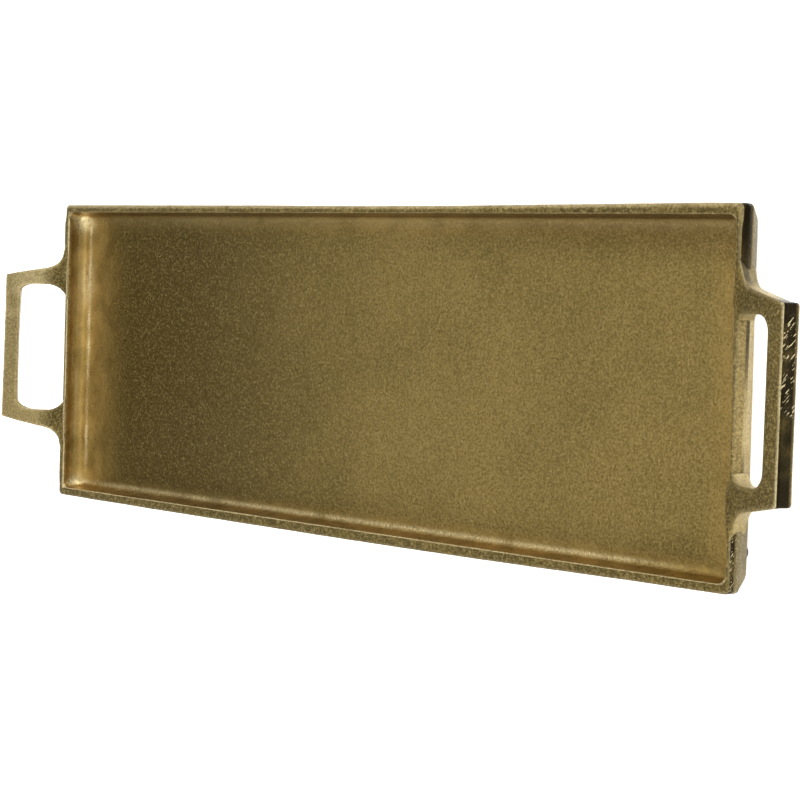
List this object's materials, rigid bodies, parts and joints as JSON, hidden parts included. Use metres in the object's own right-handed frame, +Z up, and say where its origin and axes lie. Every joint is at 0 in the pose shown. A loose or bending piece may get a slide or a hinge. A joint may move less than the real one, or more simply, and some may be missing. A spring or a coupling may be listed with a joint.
{
  "type": "rectangular serving tray",
  "caption": "Long rectangular cast brass serving tray with shallow drafted walls, upswept loop handles at both ends and small rubber feet.",
  "frame": {"origin": "on the surface the feet stand on, under the middle of the tray", "axes": "+Z up out of the well, +X along the tray towards the right handle, +Y across the tray towards the rear long side"},
  "size_m": [0.6602, 0.203, 0.0412],
  "materials": {
    "cast_brass": "antique gold, sand-cast grain, satin",
    "foot_rubber": "matte black",
    "foot_adhesive": "milky acrylic adhesive"
  },
  "bodies": {
    "root": {"tray_pan": "cast_brass", "left_handle": "cast_brass", "right_handle": "cast_brass", "foot_front_left": "foot_rubber", "foot_front_right": "foot_rubber", "foot_rear_left": "foot_rubber", "foot_rear_right": "foot_rubber", "foot_adhesive_front_left": "foot_adhesive", "foot_adhesive_front_right": "foot_adhesive", "foot_adhesive_rear_left": "foot_adhesive", "foot_adhesive_rear_right": "foot_adhesive"}
  },
  "joints": []
}
